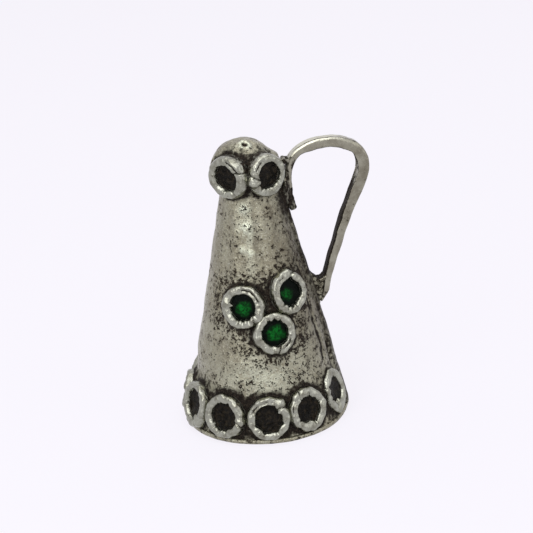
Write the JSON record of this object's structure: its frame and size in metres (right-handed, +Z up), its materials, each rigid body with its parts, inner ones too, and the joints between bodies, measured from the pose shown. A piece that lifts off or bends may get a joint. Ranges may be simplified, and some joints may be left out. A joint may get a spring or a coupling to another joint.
{
  "type": "miniature jug with hinged lid",
  "caption": "Small conical silver jug with enamelled wire collets at foot and front, strap handle, and a ball-shaped lid with two more, hinged on the strap.",
  "frame": {"origin": "middle of the base plate's underside, on the cone's axis", "axes": "+Z up along the cone, +X towards the handle"},
  "size_m": [0.0271, 0.0232, 0.0387],
  "materials": {
    "oxidised_silver": "hand-worked silver sheet, pitted and oxidised dark in the hollows",
    "silver_wire": "hammered silver wire, worn bright on its high places",
    "dark_enamel": "brown-black enamel, worn and slightly rough",
    "green_enamel": "deep green glassy enamel"
  },
  "bodies": {
    "jug": {"base_plate": "oxidised_silver", "body_cone": "oxidised_silver", "handle_strap": "oxidised_silver", "handle_gusset": "oxidised_silver", "hinge_knuckle_left": "oxidised_silver", "hinge_knuckle_right": "oxidised_silver", "hinge_pin": "oxidised_silver", "base_collet_01": "silver_wire", "base_collet_02": "silver_wire", "base_collet_03": "silver_wire", "base_collet_04": "silver_wire", "base_collet_05": "silver_wire", "base_collet_06": "silver_wire", "base_collet_07": "silver_wire", "base_collet_08": "silver_wire", "base_collet_09": "silver_wire", "base_collet_10": "silver_wire", "front_collet_01": "silver_wire", "front_collet_02": "silver_wire", "front_collet_03": "silver_wire", "base_enamel_01": "dark_enamel", "base_enamel_02": "dark_enamel", "base_enamel_03": "dark_enamel", "base_enamel_04": "dark_enamel", "base_enamel_05": "dark_enamel", "base_enamel_06": "dark_enamel", "base_enamel_07": "dark_enamel", "base_enamel_08": "dark_enamel", "base_enamel_09": "dark_enamel", "base_enamel_10": "dark_enamel", "front_enamel_01": "green_enamel", "front_enamel_02": "green_enamel", "front_enamel_03": "green_enamel"},
    "lid": {"lid_dome": "oxidised_silver", "lid_bezel": "oxidised_silver", "lid_knuckle": "oxidised_silver", "crown_collet_01": "silver_wire", "crown_collet_02": "silver_wire", "crown_enamel_01": "dark_enamel", "crown_enamel_02": "dark_enamel"}
  },
  "joints": [
    {"name": "lid_hinge", "type": "hinge", "parent": "jug", "child": "lid", "pos_m": [0.00468, 0, 0.03505], "axis": [0, 1, 0], "range_deg": [0, 75]}
  ]
}
